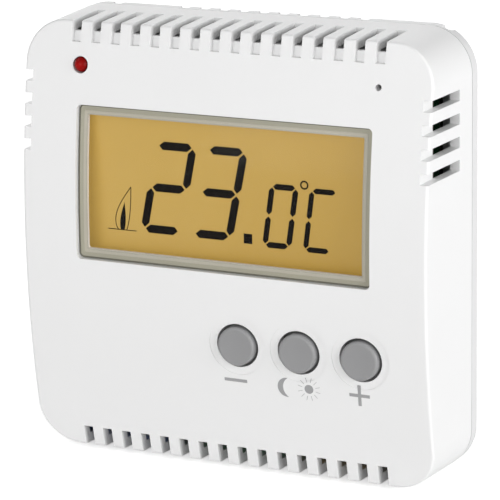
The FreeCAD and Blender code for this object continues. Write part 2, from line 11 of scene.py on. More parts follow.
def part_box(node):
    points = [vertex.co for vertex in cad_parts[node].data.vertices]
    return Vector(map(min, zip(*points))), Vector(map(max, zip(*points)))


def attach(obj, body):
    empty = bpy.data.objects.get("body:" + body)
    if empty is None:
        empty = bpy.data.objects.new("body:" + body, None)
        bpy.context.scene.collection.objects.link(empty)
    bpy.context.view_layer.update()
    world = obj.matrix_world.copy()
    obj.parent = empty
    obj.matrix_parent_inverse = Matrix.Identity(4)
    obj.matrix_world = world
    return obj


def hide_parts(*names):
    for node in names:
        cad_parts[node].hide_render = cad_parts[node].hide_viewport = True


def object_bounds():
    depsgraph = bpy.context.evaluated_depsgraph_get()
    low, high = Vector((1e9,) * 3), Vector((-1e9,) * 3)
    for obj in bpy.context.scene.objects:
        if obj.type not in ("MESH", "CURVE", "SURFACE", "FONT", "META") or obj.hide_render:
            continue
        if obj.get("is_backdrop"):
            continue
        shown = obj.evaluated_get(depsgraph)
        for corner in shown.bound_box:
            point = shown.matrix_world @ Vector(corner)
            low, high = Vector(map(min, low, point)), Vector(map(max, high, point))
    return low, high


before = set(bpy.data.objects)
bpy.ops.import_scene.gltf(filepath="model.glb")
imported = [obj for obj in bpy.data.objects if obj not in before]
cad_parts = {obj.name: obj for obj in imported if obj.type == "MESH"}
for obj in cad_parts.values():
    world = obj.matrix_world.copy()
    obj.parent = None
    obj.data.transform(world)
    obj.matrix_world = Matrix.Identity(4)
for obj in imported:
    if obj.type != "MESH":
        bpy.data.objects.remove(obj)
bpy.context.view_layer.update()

bl_info = {
    "name": "Wall Thermostat",
    "version": (1, 0, 0),
    "blender": (4, 5, 0),
    "location": "3D View > Sidebar > Thermostat",
    "description": "Finishes and small pieces of a wall thermostat, and the stage it stands on",
    "category": "Object",
}

MM = 0.001
CIRCLE = 2 * math.pi


# ---------------------------------------------------------------- places read from the frame
def middle(node):
    """Centre of a node's box."""
    low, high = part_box(node)
    return (low + high) / 2


def front_of(node):
    """Y of the node's face towards the room."""
    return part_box(node)[0].y


def back_of(node):
    """Y of the node's face towards the wall."""
    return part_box(node)[1].y


BOW_RISE = 4.8 * MM
FRONT_HALF_HEIGHT = 41.8 * MM
BOW_RADIUS = (FRONT_HALF_HEIGHT ** 2 + BOW_RISE ** 2) / (2 * BOW_RISE)


def bow_y(z):
    """Y of the cover's front at height z: a circular arc about an axis along X, touching the cover's
    foremost plane at z = 0."""
    return front_of("front_cover") + BOW_RADIUS - np.sqrt(BOW_RADIUS ** 2 - np.asarray(z) ** 2)


# ---------------------------------------------------------------- surfaces
def new_piece(name, vertices, faces, smooth):
    """A mesh object at the origin from arrays of vertices and faces."""
    mesh = bpy.data.meshes.new(name)
    mesh.from_pydata(vertices.tolist(), [], faces)
    mesh.validate()
    mesh.polygons.foreach_set("use_smooth", [smooth] * len(mesh.polygons))
    mesh.update()
    piece = bpy.data.objects.new(name, mesh)
    bpy.context.scene.collection.objects.link(piece)
    return piece


def quads(rows, columns, wrap_rows):
    """Faces between neighbouring rows of a grid whose columns close on themselves."""
    row = np.arange(rows if wrap_rows else rows - 1)[:, None]
    column = np.arange(columns)[None, :]
    after = (row + 1) % rows
    beside = (column + 1) % columns
    corners = (row * columns + column, row * columns + beside, after * columns + beside,
               after * columns + column)
    return np.stack(np.broadcast_arrays(*corners), -1).reshape(-1, 4)


def loft(loops, closed=False):
    """Vertices and faces through a stack of loops, each an array of points. An open stack is shut at both
    ends by a fan to the end loop's mean point; a closed one returns to its first loop."""
    loops = np.asarray(loops, float)
    rows, columns = loops.shape[:2]
    points = loops.reshape(-1, 3)
    faces = quads(rows, columns, closed).tolist()
    if not closed:
        points = np.vstack([points, loops[0].mean(0), loops[-1].mean(0)])
        around = np.arange(columns)
        beside = (around + 1) % columns
        first, last = rows * columns, rows * columns + 1
        end = (rows - 1) * columns
        faces += np.stack([beside, around, np.full(columns, first)], 1).tolist()
        faces += np.stack([end + around, end + beside, np.full(columns, last)], 1).tolist()
    return points, faces


def outward(piece):
    """Winds the faces of each connected part alike, with their normals out of it."""
    work = bmesh.new()
    work.from_mesh(piece.data)
    bmesh.ops.recalc_face_normals(work, faces=work.faces)
    work.to_mesh(piece.data)
    work.free()
    return piece


def combined(parts):
    """One set of vertices and faces from several."""
    vertices, faces, offset = [], [], 0
    for points, sides in parts:
        vertices.append(points)
        faces += [[index + offset for index in side] for side in sides]
        offset += len(points)
    return np.vstack(vertices), faces


def turned(profile, x, z, steps=64):
    """Surface of revolution: each profile point (radius, y) runs once round the line through x and z."""
    profile = np.asarray(profile, float)
    angle = np.arange(steps) / steps * CIRCLE
    radius, depth = profile[:, 0][:, None], profile[:, 1][:, None]
    return loft(np.stack([x + radius * np.cos(angle), depth + 0 * angle, z + radius * np.sin(angle)], -1))


def quarter_round(radius, steps=6):
    """Sideways and forward offsets of a quarter circle of this radius, from its side to its top."""
    angle = np.linspace(0, math.pi / 2, steps)
    return radius * (1 - np.cos(angle)), radius * np.sin(angle)


def rounded_loop(half_x, half_z, radius, x, z, steps=9, side_steps=1):
    """Points round a rounded rectangle: four quarter circles, each followed by a straight side that is
    divided evenly."""
    turn = np.linspace(0, math.pi / 2, steps)
    quarters = []
    for quarter, (side_x, side_z) in enumerate(((1, 1), (-1, 1), (-1, -1), (1, -1))):
        angle = turn + quarter * math.pi / 2
        px = x + side_x * (half_x - radius) + radius * np.cos(angle)
        pz = z + side_z * (half_z - radius) + radius * np.sin(angle)
        quarters.append(np.stack([px, pz], 1))
    share = (np.arange(1, side_steps) / side_steps)[:, None]
    outline = []
    for quarter, after in zip(quarters, quarters[1:] + quarters[:1]):
        outline += [quarter, quarter[-1] + (after[0] - quarter[-1]) * share]
    return np.vstack(outline)


def soft_block(low, high, edge, towards=-1):
    """Box whose four upright corners and front edges are quarter rounds: loops of a rounded rectangle,
    drawn in along a quarter circle as they near the front."""
    half_x, half_z = (high.x - low.x) / 2, (high.z - low.z) / 2
    x, z = (high.x + low.x) / 2, (high.z + low.z) / 2
    back, front = (high.y, low.y) if towards < 0 else (low.y, high.y)
    drawn_in, forward = quarter_round(edge)
    loops = []
    inset = np.concatenate([[0.0], drawn_in])
    depth = np.concatenate([[back], front - towards * (edge - forward)])
    for shrink, y in zip(inset, depth):
        outline = rounded_loop(half_x - shrink, half_z - shrink, max(edge - shrink, edge * 0.05), x, z)
        loops.append(np.insert(outline, 1, y, axis=1))
    return loft(loops)


def ribbon(left, right, front, back, closed=False):
    """Flat strip between two lines of (x, z) points, with square sides: each station along it is a loop of
    four points, left and right on the front and on the back. front and back give Y at a height."""
    left, right = np.asarray(left, float), np.asarray(right, float)
    stations = []
    for line, depth in ((left, front), (right, front), (right, back), (left, back)):
        stations.append(np.stack([line[:, 0], depth(line[:, 1]) + 0 * line[:, 0], line[:, 1]], 1))
    return loft(np.stack(stations, 1), closed)


def stroke(path, width, closed=False):
    """Left and right lines of a stroke: the path moved half a width each way along its normal."""
    path = np.asarray(path, float)
    if closed:
        along = np.roll(path, -1, 0) - np.roll(path, 1, 0)
    else:
        along = np.gradient(path, axis=0)
    along = along / np.linalg.norm(along, axis=1)[:, None]
    normal = np.stack([-along[:, 1], along[:, 0]], 1)
    width = np.broadcast_to(np.asarray(width, float), len(path))[:, None]
    return path + normal * width / 2, path - normal * width / 2


def bar(x, z, length, width, angle, point=0.0):
    """Left and right lines of a straight bar about its middle; point is how far each end tapers."""
    along = np.array([-length / 2, -length / 2 + point, length / 2 - point, length / 2])
    half = np.array([width / 2 if point == 0 else width * 0.04, width / 2, width / 2,
                     width / 2 if point == 0 else width * 0.04])
    if point == 0:
        along, half = along[[0, 3]], half[[0, 3]]
    direction = np.array([math.cos(angle), math.sin(angle)])
    side = np.array([-direction[1], direction[0]])
    centre = np.array([x, z])
    line = centre + along[:, None] * direction
    return line + half[:, None] * side, line - half[:, None] * side


def place(name, shape, body, material, smooth=False, stands_for=()):
    """Makes the object, gives it its finish and lets it ride on its body."""
    piece = outward(new_piece(name, *shape, smooth))
    piece.data.materials.append(material)
    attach(piece, body)
    if stands_for:
        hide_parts(*stands_for)
    return piece


def smooth_by_angle(piece, degrees=32.0):
    """Smooth shading that keeps edges sharper than the angle."""
    angle = math.radians(degrees)
    piece.data.polygons.foreach_set("use_smooth", [True] * len(piece.data.polygons))
    piece.data.set_sharp_from_angle(angle=angle)


# ---------------------------------------------------------------- finishes
def add(tree, kind):
    """New shader node of this kind."""
    return tree.nodes.new("ShaderNode" + kind)


def wire(source, output, target, socket):
    """Links an output of one node to an input of another."""
    source.id_data.links.new(source.outputs[output], target.inputs[socket])


def maths(tree, operation, *values):
    """Math node whose inputs after the first hold these values."""
    node = add(tree, "Math")
    node.operation = operation
    for socket, value in zip(list(node.inputs)[1:], values):
        socket.default_value = value
    return node


def colour_mix(tree, blend="MIX"):
    """Mix node for colours."""
    node = add(tree, "Mix")
    node.data_type = "RGBA"
    node.blend_type = blend
    return node


def add_group(name, inputs, outputs):
    """Empty shader group with named sockets; returns its tree and its input and output nodes."""
    tree = bpy.data.node_groups.new(name, "ShaderNodeTree")
    for label, kind, value in inputs:
        made = tree.interface.new_socket(label, in_out="INPUT", socket_type=kind)
        if value is not None:
            made.default_value = value
    for label, kind in outputs:
        tree.interface.new_socket(label, in_out="OUTPUT", socket_type=kind)
    return tree, tree.nodes.new("NodeGroupInput"), tree.nodes.new("NodeGroupOutput")


def moulded_group():
    """Moulded plastic: a fine spark-eroded grain as height, and a faint broad unevenness as a shade."""
    tree, entry, leave = add_group(
        "Moulded grain",
        [("Colour", "NodeSocketColor", (0.8, 0.8, 0.8, 1)), ("Grain per metre", "NodeSocketFloat", 5200.0),
         ("Unevenness", "NodeSocketFloat", 0.03)],
        [("Colour", "NodeSocketColor"), ("Height", "NodeSocketFloat"),
         ("Roughness shift", "NodeSocketFloat")])
    place_node = add(tree, "TexCoord")
    fine = add(tree, "TexNoise")
    fine.inputs["Detail"].default_value = 3.0
    broad = add(tree, "TexNoise")
    broad.inputs["Scale"].default_value = 60.0
    broad.inputs["Detail"].default_value = 2.0
    darker = maths(tree, "MULTIPLY")
    mix = colour_mix(tree, "MULTIPLY")
    mix.inputs["B"].default_value = (0.5, 0.5, 0.5, 1)
    wire(place_node, "Object", fine, "Vector")
    wire(place_node, "Object", broad, "Vector")
    wire(entry, "Grain per metre", fine, "Scale")
    wire(broad, "Fac", darker, 0)
    wire(entry, "Unevenness", darker, 1)
    wire(darker, 0, mix, "Factor")
    wire(entry, "Colour", mix, "A")
    wire(mix, "Result", leave, "Colour")
    wire(fine, "Fac", leave, "Height")
    wire(darker, 0, leave, "Roughness shift")
    return tree


def worn_metal_group():
    """Plated metal: fine streaks along X as height and a blotchy change of shade."""
    tree, entry, leave = add_group(
        "Plated metal",
        [("Colour", "NodeSocketColor", (0.6, 0.6, 0.6, 1)), ("Stains", "NodeSocketFloat", 0.3)],
        [("Colour", "NodeSocketColor"), ("Height", "NodeSocketFloat"), ("Stain", "NodeSocketFloat")])
    place_node = add(tree, "TexCoord")
    stretch = add(tree, "Mapping")
    stretch.inputs["Scale"].default_value = (900.0, 9000.0, 9000.0)
    streak = add(tree, "TexNoise")
    streak.inputs["Scale"].default_value = 1.0
    blotch = add(tree, "TexNoise")
    blotch.inputs["Scale"].default_value = 900.0
    amount = maths(tree, "MULTIPLY")
    mix = colour_mix(tree, "MULTIPLY")
    mix.inputs["B"].default_value = (0.35, 0.33, 0.3, 1)
    wire(place_node, "Object", stretch, "Vector")
    wire(stretch, "Vector", streak, "Vector")
    wire(place_node, "Object", blotch, "Vector")
    wire(blotch, "Fac", amount, 0)
    wire(entry, "Stains", amount, 1)
    wire(amount, 0, mix, "Factor")
    wire(entry, "Colour", mix, "A")
    wire(mix, "Result", leave, "Colour")
    wire(streak, "Fac", leave, "Height")
    wire(amount, 0, leave, "Stain")
    return tree


def band_group():
    """Mask of 1 where an object coordinate along one axis lies between two limits."""
    tree, entry, leave = add_group(
        "Band",
        [("Axis", "NodeSocketVector", (0, 1, 0)), ("From", "NodeSocketFloat", 0.0),
         ("To", "NodeSocketFloat", 1.0)],
        [("Mask", "NodeSocketFloat")])
    place_node = add(tree, "TexCoord")
    along = add(tree, "VectorMath")
    along.operation = "DOT_PRODUCT"
    above = maths(tree, "GREATER_THAN")
    below = maths(tree, "LESS_THAN")
    both = maths(tree, "MULTIPLY")
    wire(place_node, "Object", along, 0)
    wire(entry, "Axis", along, 1)
    wire(along, "Value", above, 0)
    wire(entry, "From", above, 1)
    wire(along, "Value", below, 0)
    wire(entry, "To", below, 1)
    wire(above, 0, both, 0)
    wire(below, 0, both, 1)
    wire(both, 0, leave, "Mask")
    return tree


def shared(name, maker):
    """The shader group of this name, made the first time."""
    return bpy.data.node_groups.get(name) or maker()


def group_node(tree, name, maker, **values):
    """A group placed in a material with its own values; underscores stand for spaces."""
    node = add(tree, "Group")
    node.node_tree = shared(name, maker)
    for label, value in values.items():
        node.inputs[label.replace("_", " ")].default_value = value
    return node


def start_material(name, **sockets):
    """New material and its Principled shader, with constants set on the sockets."""
    material = bpy.data.materials.new(name)
    material.use_nodes = True
    shader = material.node_tree.nodes["Principled BSDF"]
    for label, value in sockets.items():
        shader.inputs[label.replace("_", " ")].default_value = value
    return material, shader


def add_bump(tree, shader, height, strength, distance):
    """Bump from a height output into the shader's normal."""
    bump = add(tree, "Bump")
    bump.inputs["Strength"].default_value = strength
    bump.inputs["Distance"].default_value = distance
    tree.links.new(height, bump.inputs["Height"])
    wire(bump, "Normal", shader, "Normal")


def plastic(name, colour, roughness, grain=5200.0, bump=0.12, unevenness=0.04, **sockets):
    """Moulded plastic of one colour with its grain."""
    material, shader = start_material(name, Roughness=roughness, **sockets)
    tree = material.node_tree
    grain_node = group_node(tree, "Moulded grain", moulded_group, Colour=(*colour, 1), Grain_per_metre=grain,
                            Unevenness=unevenness)
    rough = maths(tree, "ADD", roughness)
    wire(grain_node, "Colour", shader, "Base Color")
    wire(grain_node, "Roughness shift", rough, 0)
    wire(rough, 0, shader, "Roughness")
    add_bump(tree, shader, grain_node.outputs["Height"], bump, 0.00004)
    return material


def metal(name, colour, roughness, stains=0.3, bump=0.15):
    """Plated or bare metal."""
    material, shader = start_material(name, Metallic=1.0, Roughness=roughness)
    tree = material.node_tree
    plate = group_node(tree, "Plated metal", worn_metal_group, Colour=(*colour, 1), Stains=stains)
    rough = maths(tree, "MULTIPLY_ADD", 0.3, roughness)
    wire(plate, "Colour", shader, "Base Color")
    wire(plate, "Stain", rough, 0)
    wire(rough, 0, shader, "Roughness")
    add_bump(tree, shader, plate.outputs["Height"], bump, 0.00002)
    return material


def two_part(name, colour, roughness, axis, limits, other, other_roughness, metallic=1.0):
    """Moulded plastic that turns to metal, or to another resin, in a band along one axis."""
    material = plastic(name, colour, roughness)
    tree = material.node_tree
    shader = tree.nodes["Principled BSDF"]
    band = group_node(tree, "Band", band_group, Axis=axis, From=limits[0], To=limits[1])
    plastic_colour = shader.inputs["Base Color"].links[0].from_socket
    plastic_rough = shader.inputs["Roughness"].links[0].from_socket
    mix = colour_mix(tree)
    mix.inputs["B"].default_value = (*other, 1)
    rough = add(tree, "Mix")
    rough.inputs["B"].default_value = other_roughness
    shine = maths(tree, "MULTIPLY", metallic)
    wire(band, "Mask", mix, "Factor")
    tree.links.new(plastic_colour, mix.inputs["A"])
    wire(mix, "Result", shader, "Base Color")
    wire(band, "Mask", rough, "Factor")
    tree.links.new(plastic_rough, rough.inputs["A"])
    wire(rough, "Result", shader, "Roughness")
    wire(band, "Mask", shine, 0)
    wire(shine, 0, shader, "Metallic")
    return material


def laminate(name, colour, trace):
    """Lacquered circuit board: square-cornered tracks show through the lacquer as a lighter, raised net, and
    the sawn edges are bare."""
    material, shader = start_material(name, Roughness=0.28, Coat_Weight=0.4, Coat_Roughness=0.1)
    tree = material.node_tree
    place_node = add(tree, "TexCoord")
    net = add(tree, "TexVoronoi")
    net.feature = "F1"
    net.distance = "MANHATTAN"
    net.inputs["Scale"].default_value = 240.0
    step = maths(tree, "MULTIPLY", 7.0)
    saw = maths(tree, "FRACT")
    ramp = add(tree, "ValToRGB")
    ramp.color_ramp.elements[0].position = 0.42
    ramp.color_ramp.elements[1].position = 0.5
    mix = colour_mix(tree)
    mix.inputs["A"].default_value = (*colour, 1)
    mix.inputs["B"].default_value = (*trace, 1)
    wire(place_node, "Object", net, "Vector")
    wire(net, "Distance", step, 0)
    wire(step, 0, saw, 0)
    wire(saw, 0, ramp, "Fac")
    wire(ramp, "Color", mix, "Factor")
    facing = add(tree, "SeparateXYZ")
    size = maths(tree, "ABSOLUTE")
    sawn = maths(tree, "LESS_THAN", 0.5)
    edge = colour_mix(tree)
    edge.inputs["B"].default_value = (0.06, 0.055, 0.04, 1)
    wire(place_node, "Normal", facing, "Vector")
    wire(facing, "Y", size, 0)
    wire(size, 0, sawn, 0)
    wire(sawn, 0, edge, "Factor")
    wire(mix, "Result", edge, "A")
    wire(edge, "Result", shader, "Base Color")
    add_bump(tree, shader, ramp.outputs["Color"], 0.3, 0.00003)
    return material


def clear_pane(name, colour, cover):
    """Thin clear plastic with faint scuffs; cover is how much of it hides what is behind."""
    material, shader = start_material(name, Base_Color=(*colour, 1), IOR=1.5, Alpha=cover)
    tree = material.node_tree
    scuffs = add(tree, "TexNoise")
    scuffs.inputs["Scale"].default_value = 1200.0
    spot = add(tree, "TexCoord")
    rough = maths(tree, "MULTIPLY_ADD", 0.08, 0.03)
    wire(spot, "Object", scuffs, "Vector")
    wire(scuffs, "Fac", rough, 0)
    wire(rough, 0, shader, "Roughness")
    return material


def amber_field(name, settings):
    """Backlit display field: amber, a little lighter and greener towards the lamps on the left."""
    material, shader = start_material(name, Roughness=0.35, Emission_Strength=settings.glow_and_painted_highlight)
    tree = material.node_tree
    place_node = add(tree, "TexCoord")
    parts = add(tree, "SeparateXYZ")
    across = add(tree, "MapRange")
    low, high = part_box("lcd_panel")
    across.inputs["From Min"].default_value = low.x
    across.inputs["From Max"].default_value = high.x
    cloud = add(tree, "TexNoise")
    cloud.inputs["Scale"].default_value = 90.0
    cloud.inputs["Detail"].default_value = 1.0
    drift = maths(tree, "MULTIPLY_ADD", 0.35)
    mix = colour_mix(tree)
    mix.inputs["A"].default_value = (*settings.amber_light, 1)
    mix.inputs["B"].default_value = (*settings.amber_deep, 1)
    wire(place_node, "Object", parts, "Vector")
    wire(parts, "X", across, "Value")
    wire(place_node, "Object", cloud, "Vector")
    wire(cloud, "Fac", drift, 0)
    wire(across, "Result", drift, 2)
    wire(drift, 0, mix, "Factor")
    wire(mix, "Result", shader, "Base Color")
    wire(mix, "Result", shader, "Emission Color")
    return material


def finish_node(node, material):
    """Gives a node its material."""
    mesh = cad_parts[node].data
    mesh.materials.clear()
    mesh.materials.append(material)


# ---------------------------------------------------------------- settings
def length(name, description, default):
    """A length in metres, given in millimetres."""
    return FloatProperty(name=name, description=description, default=default * MM, unit="LENGTH")


def colour(name, description, default):
    """A colour without alpha."""
    return FloatVectorProperty(name=name, description=description, default=default, subtype="COLOR", size=3,
                               min=0, max=1)


class CaseSettings(bpy.types.PropertyGroup):
    cover_colour: colour("Cover", "Colour of the front cover", (0.85, 0.85, 0.85))
    base_colour: colour("Base", "Colour of the wall base", (0.76, 0.76, 0.765))
    print_colour: colour("Print", "Colour of the printed signs", (0.35, 0.35, 0.355))
    print_depth: length("Print thickness", "How far the ink stands off the cover", 0.02)


class ButtonSettings(bpy.types.PropertyGroup):
    cap_colour: colour("Cap", "Colour of the button caps", (0.29, 0.29, 0.295))
    face_dish: length("Dish", "Depth of the hollow in a cap's face", 0.12)
    rim_round: length("Rim", "Radius of the cap's rounded rim", 0.5)
    crown_drop: length("Crown drop", "How far the cap's rim lies behind its foremost plane", 0.12)


class DisplaySettings(bpy.types.PropertyGroup):
    amber_light: colour("Amber, light", "Field colour at the lamps", (0.50, 0.328, 0.080))
    amber_deep: colour("Amber, deep", "Field colour away from the lamps", (0.44, 0.276, 0.054))
    glow_and_painted_highlight: FloatProperty(name="Glow", description="Backlight strength", default=0.45)
    ink: colour("Segments", "Colour of the dark segments", (0.005, 0.003, 0.002))
    large_width: length("Large digit width", "Between the middles of its upright segments", 7.3)
    large_height: length("Large digit height", "Between the middles of its level segments", 16.3)
    large_stroke: length("Large stroke", "Width of a large segment", 1.6)
    small_width: length("Small digit width", "Between the middles of its upright segments", 4.85)
    small_height: length("Small digit height", "Between the middles of its level segments", 11.2)
    small_stroke: length("Small stroke", "Width of a small segment", 1.12)
    slant: FloatProperty(name="Slant", description="Sideways lean per unit of height", default=0.205)
    tens: IntProperty(name="Tens", description="First digit shown", default=2, min=0, max=9)
    units: IntProperty(name="Units", description="Second digit shown", default=3, min=0, max=9)
    tenths: IntProperty(name="Tenths", description="Digit after the point", default=0, min=0, max=9)


class StageSettings(bpy.types.PropertyGroup):
    turn: FloatProperty(name="Turn", description="View direction from straight ahead", subtype="ANGLE",
                        default=math.radians(26.26))
    rise: FloatProperty(name="Rise", description="View direction above level", subtype="ANGLE",
                        default=math.radians(14.42))
    tilt: FloatProperty(name="Tilt", description="Roll of the camera", subtype="ANGLE",
                        default=math.radians(-0.995))
    eye: FloatVectorProperty(name="Eye", description="Camera place", default=(0.2359, -0.4874, 0.1354),
                             subtype="TRANSLATION", unit="LENGTH")
    lens: FloatProperty(name="Lens", description="Focal length for a 36 mm sensor, in millimetres",
                        default=209.24)
    ambient: FloatProperty(name="Ambient", description="Strength of the light from all round", default=0.34)
    side_power: FloatProperty(name="Side lamp", description="Power of the lamp on the right", default=9.6)
    front_power: FloatProperty(name="Front lamp", description="Power of the lamp in front", default=6.4)
    rear_power: FloatProperty(name="Rear lamp", description="Power of the lamp behind", default=3.6)


# ---------------------------------------------------------------- case
def case_material(name, base):
    """Satin plastic of the case."""
    return plastic(name, base, 0.42, grain=4200.0, bump=0.10, unevenness=0.03, Specular_IOR_Level=0.4)


class THERMOSTAT_OT_case(bpy.types.Operator):
    """Finish the front cover and the wall base"""
    bl_idname = "thermostat.case"
    bl_label = "Finish the case"

    def execute(self, context):
        settings = context.scene.thermostat_case
        finish_node("front_cover", case_material("cover_white", settings.cover_colour))
        finish_node("base_plate", case_material("base_white", settings.base_colour))
        return {"FINISHED"}


# ---------------------------------------------------------------- display
SEGMENTS = {0: "abcdef", 1: "bc", 2: "abged", 3: "abgcd", 4: "fgbc", 5: "afgcd", 6: "afgecd", 7: "abc",
            8: "abcdefg", 9: "abcdfg", "C": "afed"}


def digit(which, x, z, width, height, thick, slant):
    """Lit segments of one character about x and z. Level segments a, g and d are at the top, middle and
    bottom; upright ones lean by the slant. Each is a bar with pointed ends, a little shorter than its side,
    so that neighbours stay apart."""
    half_x, half_z = width / 2, height / 2
    places = {"a": (0, half_z, 0), "g": (0, 0, 0), "d": (0, -half_z, 0),
              "b": (half_x, half_z / 2, 1), "c": (half_x, -half_z / 2, 1),
              "f": (-half_x, half_z / 2, 1), "e": (-half_x, -half_z / 2, 1)}
    parts = []
    for key in SEGMENTS[which]:
        across, up, upright = places[key]
        run = (half_z if upright else width) - 0.38 * thick
        left, right = bar(across, up, run, thick, math.pi / 2 * upright, thick / 2)
        for line in (left, right):
            line[:, 0] += slant * line[:, 1] + x
            line[:, 1] += z
        parts.append((left, right))
    return parts


def arc(x, z, radius, start, end, steps=40):
    """Points along a circle between two angles."""
    angle = np.linspace(start, end, steps)
    return np.stack([x + radius * np.cos(angle), z + radius * np.sin(angle)], 1)


def flame_half(x0, x1, z0, z1, bulge, steps=24):
    """One side of a flame from its foot (x0, z0) to its tip (x1, z1): a straight line pushed sideways by
    bulge times a sine that leans towards the foot."""
    along = np.linspace(0, 1, steps)
    push = bulge * np.sin(math.pi * along ** 0.75)
    return np.stack([x0 + (x1 - x0) * along + push, z0 + (z1 - z0) * along], 1)


class THERMOSTAT_OT_display(bpy.types.Operator):
    """Finish the display field and draw its dark segments and flame"""
    bl_idname = "thermostat.display"
    bl_label = "Draw the display"

    def execute(self, context):
        settings = context.scene.thermostat_display
        finish_node("lcd_panel", amber_field("amber_field", settings))
        centre = middle("lcd_panel")
        face = front_of("lcd_panel")
        ink_front, ink_back = face - 0.03 * MM, face - 0.005 * MM
        large = (settings.large_width, settings.large_height, settings.large_stroke, settings.slant)
        small = (settings.small_width, settings.small_height, settings.small_stroke, settings.slant * 0.72)
        row = centre.z - 0.95 * MM
        small_row = row - settings.large_height / 2 + settings.small_height / 2 - 0.75 * MM
        strips = digit(settings.tens, centre.x - 12.85 * MM, row, *large)
        strips += digit(settings.units, centre.x - 2.25 * MM, row, *large)
        strips += digit(settings.tenths, centre.x + 10.36 * MM, small_row, *small)
        strips += digit("C", centre.x + 18.55 * MM, small_row - 0.15 * MM, settings.small_width,
                        settings.small_height, settings.small_stroke * 0.92, settings.slant * 0.65)
        dot_z = row - settings.large_height / 2
        strips.append(bar(centre.x + 3.6 * MM, dot_z, 1.75 * MM, 1.9 * MM, 0.0))
        flame_x = centre.x - 23.0 * MM
        ground = centre.z - 9.85 * MM
        strips.append(bar(flame_x, ground, 6.1 * MM, 0.16 * MM, 0.0))
        tip = (flame_x + 2.1 * MM, ground + 8.5 * MM)
        for foot, bulge in ((-0.75, -1.45), (0.95, 0.35)):
            side = flame_half(flame_x + foot * MM, tip[0], ground, tip[1], bulge * MM)
            strips.append(stroke(side, 0.15 * MM))
        inner_tip = (flame_x + 0.65 * MM, ground + 5.4 * MM)
        strips.append((flame_half(flame_x - 0.25 * MM, inner_tip[0], ground, inner_tip[1], -0.42 * MM),
                       flame_half(flame_x + 0.45 * MM, inner_tip[0], ground, inner_tip[1], 0.28 * MM)))
        parts = [ribbon(left, right, lambda z: ink_front, lambda z: ink_back) for left, right in strips]
        degree = arc(centre.x + 15.3 * MM, centre.z + 2.15 * MM, 0.7 * MM, 0, CIRCLE, 33)[:-1]
        ring = stroke(degree, 0.3 * MM, closed=True)
        parts.append(ribbon(*ring, lambda z: ink_front, lambda z: ink_back, closed=True))
        ink = plastic("segment_ink", settings.ink, 0.5, unevenness=0.0, Specular_IOR_Level=0.08)
        place("display_segments", combined(parts), "front_unit", ink)
        return {"FINISHED"}


class THERMOSTAT_OT_window(bpy.types.Operator):
    """Make the bevelled window pane, the tinted frame it is bonded with, a dark ring of painted shade round
    the pane's edge and a lighter band of painted highlight inside the frame
    """
    bl_idname = "thermostat.window"
    bl_label = "Make the window"

    def execute(self, context):
        low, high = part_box("display_window")
        centre = (low + high) / 2
        half_x, half_z = (high.x - low.x) / 2, (high.z - low.z) / 2
        corner, bevel, bevel_depth, pane, inset = 0.9 * MM, 0.75 * MM, 0.3 * MM, 1.1 * MM, 0.05 * MM

        def loop(shrink, behind):
            outline = rounded_loop(half_x - shrink, half_z - shrink, max(corner - shrink, 0.15 * MM),
                                   centre.x, centre.z, 7, 16)
            return outline, behind

        def filled(behind, start):
            """Loops from a bevel's inner edge to the middle, on the bowed surface."""
            shares = np.linspace(1, 0.02, 22)
            base_loop = loop(start, 0)[0] - np.array([centre.x, centre.z])
            return [(base_loop * share + np.array([centre.x, centre.z]), behind) for share in shares]

        stack = list(reversed(filled(pane, 0.0)))
        stack += [loop(0.0, bevel_depth + inset + 0.25 * MM), loop(0.0, bevel_depth + inset)]
        for share in (0.35, 0.7):
            stack.append(loop(bevel * share, inset + bevel_depth * (1 - share)))
        stack += filled(inset, bevel)
        loops = [np.insert(outline, 1, bow_y(outline[:, 1]) + behind, axis=1) for outline, behind in stack]
        clear = clear_pane("clear_window", (0.03, 0.03, 0.027), 0.06)
        piece = place("window_pane", loft(loops), "front_unit", clear, True,
                      ["display_window"])
        smooth_by_angle(piece, 12.0)

        def band(outer, inner, front, back):
            """Closed ring between two insets of the window's outline, on the bowed surface."""
            sides = []
            for inset_by, behind in ((outer, front[0]), (inner, front[1]), (inner, back), (outer, back)):
                rounding = max(corner - inset_by, 0.3 * MM)
                outline = rounded_loop(half_x - inset_by, half_z - inset_by, rounding, centre.x, centre.z,
                                       7, 16)
                sides.append(np.insert(outline, 1, bow_y(outline[:, 1]) + behind, axis=1))
            return loft(sides, closed=True)

        bond = plastic("window_bond", (0.42, 0.40, 0.31), 0.35, unevenness=0.12)
        # Lighter band inside the tinted frame: painted highlight, drawn as a lighter ring of the frame's
        # colour.
        glint = plastic("window_bond_highlight", (0.52, 0.49, 0.40), 0.3, unevenness=0.12)
        # Dark ring round the pane's edge: painted shade of the gap between the pane and the cover's pocket,
        # drawn as a thin ring of dark colour.
        gap_shade = plastic("window_gap_shade", (0.15, 0.145, 0.11), 0.45, unevenness=0.1)
        place("window_gap_shade", band(-0.06 * MM, 0.26 * MM, (pane - 0.03 * MM, pane - 0.03 * MM),
                                  pane + 0.07 * MM), "front_unit", gap_shade)
        place("window_bond_frame", band(0.28 * MM, 1.05 * MM, (pane - 0.03 * MM, pane - 0.01 * MM),
                                        pane + 0.07 * MM), "front_unit", bond)
        # The lighter ring of painted highlight, inside the tinted frame.
        place("window_bond_highlight", band(1.07 * MM, 1.83 * MM, (pane - 0.04 * MM, pane + 0.02 * MM),
                                       pane + 0.07 * MM), "front_unit", glint)
        return {"FINISHED"}


